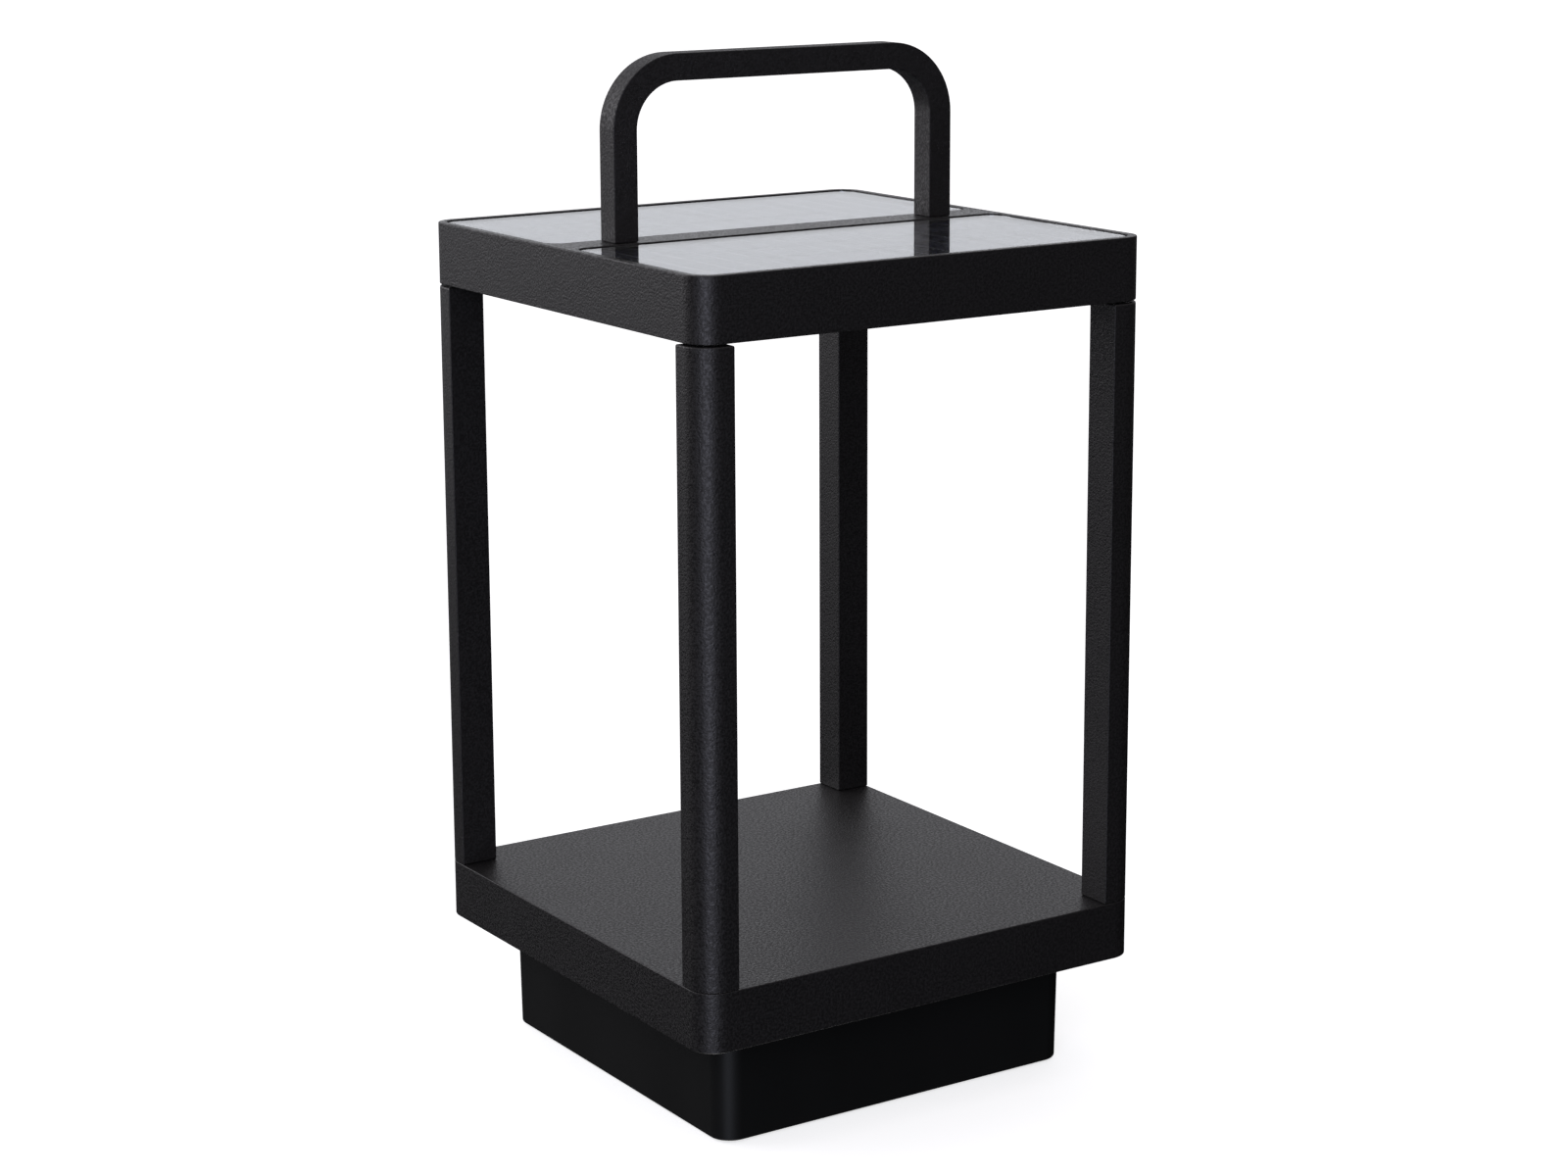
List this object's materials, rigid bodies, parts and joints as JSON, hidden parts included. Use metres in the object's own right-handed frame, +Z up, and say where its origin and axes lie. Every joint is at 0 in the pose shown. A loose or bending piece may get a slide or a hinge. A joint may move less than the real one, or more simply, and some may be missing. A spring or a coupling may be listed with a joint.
{
  "type": "solar lantern",
  "caption": "Square open-frame outdoor lantern with solar panels set in its flat head, corner posts, a downward lamp, a fixed bow handle and a raised battery foot.",
  "frame": {"origin": "centre of the footprint on the ground, under the rubber feet", "axes": "+Z up, X along the head's centre bar and the handle, -Y the front, where the switch is"},
  "size_m": [0.2, 0.2, 0.4],
  "materials": {
    "powder_coat": "aluminium with a black-grey fine-textured powder coat, satin",
    "foot_plastic": "smooth satin black moulded plastic",
    "inner_plastic": "plain black moulded plastic",
    "panel_glass": "clear tempered glass over dark cells, glossy",
    "solar_cell": "dark blue-black laminated cells",
    "opal_plastic": "translucent opal plastic",
    "rubber": "matt black silicone or rubber",
    "button_rubber": "matt dark rubber",
    "zinc_steel": "zinc-plated steel",
    "circuit_board": "green solder mask",
    "led_board": "aluminium-cored board with white solder mask",
    "cell_sleeve": "blue shrink sleeve over a metal can"
  },
  "bodies": {
    "lantern": {"ballast_bolt": "zinc_steel", "ballast_plate": "zinc_steel", "base_bottom_cover": "powder_coat", "base_tray": "powder_coat", "battery_cell_front": "cell_sleeve", "battery_cell_rear": "cell_sleeve", "battery_door": "foot_plastic", "battery_door_gasket": "rubber", "battery_door_screw_front": "zinc_steel", "battery_door_screw_rear": "zinc_steel", "battery_holder": "inner_plastic", "charge_controller_board": "circuit_board", "diffuser_bezel": "inner_plastic", "diffuser_gasket": "rubber", "foot_gasket": "rubber", "foot_housing": "foot_plastic", "foot_screw_front": "zinc_steel", "foot_screw_left": "zinc_steel", "foot_screw_rear": "zinc_steel", "foot_screw_right": "zinc_steel", "handle": "powder_coat", "handle_screw_left": "zinc_steel", "handle_screw_right": "zinc_steel", "head_bottom_cover": "powder_coat", "head_cover_gasket": "rubber", "head_cover_screw_front_left": "zinc_steel", "head_cover_screw_front_right": "zinc_steel", "head_cover_screw_rear_left": "zinc_steel", "head_cover_screw_rear_right": "zinc_steel", "head_frame": "powder_coat", "led_board": "led_board", "light_diffuser": "opal_plastic", "panel_gasket_front": "rubber", "panel_gasket_rear": "rubber", "post_front_left": "powder_coat", "post_front_right": "powder_coat", "post_rear_left": "powder_coat", "post_rear_right": "powder_coat", "post_screw_bottom_front_left": "zinc_steel", "post_screw_bottom_front_right": "zinc_steel", "post_screw_bottom_rear_left": "zinc_steel", "post_screw_bottom_rear_right": "zinc_steel", "post_screw_top_front_left": "zinc_steel", "post_screw_top_front_right": "zinc_steel", "post_screw_top_rear_left": "zinc_steel", "post_screw_top_rear_right": "zinc_steel", "rubber_foot_front_left": "rubber", "rubber_foot_front_right": "rubber", "rubber_foot_rear_left": "rubber", "rubber_foot_rear_right": "rubber", "solar_cells_front": "solar_cell", "solar_cells_rear": "solar_cell", "solar_glass_front": "panel_glass", "solar_glass_rear": "panel_glass", "switch_board": "circuit_board", "switch_collar": "inner_plastic", "tact_switch": "inner_plastic", "wiring_loom": "inner_plastic"},
    "button": {"switch_button": "button_rubber"}
  },
  "joints": [
    {"name": "switch_press", "type": "slide", "parent": "lantern", "child": "button", "axis": [0, 0, 1], "range_m": [0, 0.0012], "stiffness_N_per_m": 1200}
  ]
}
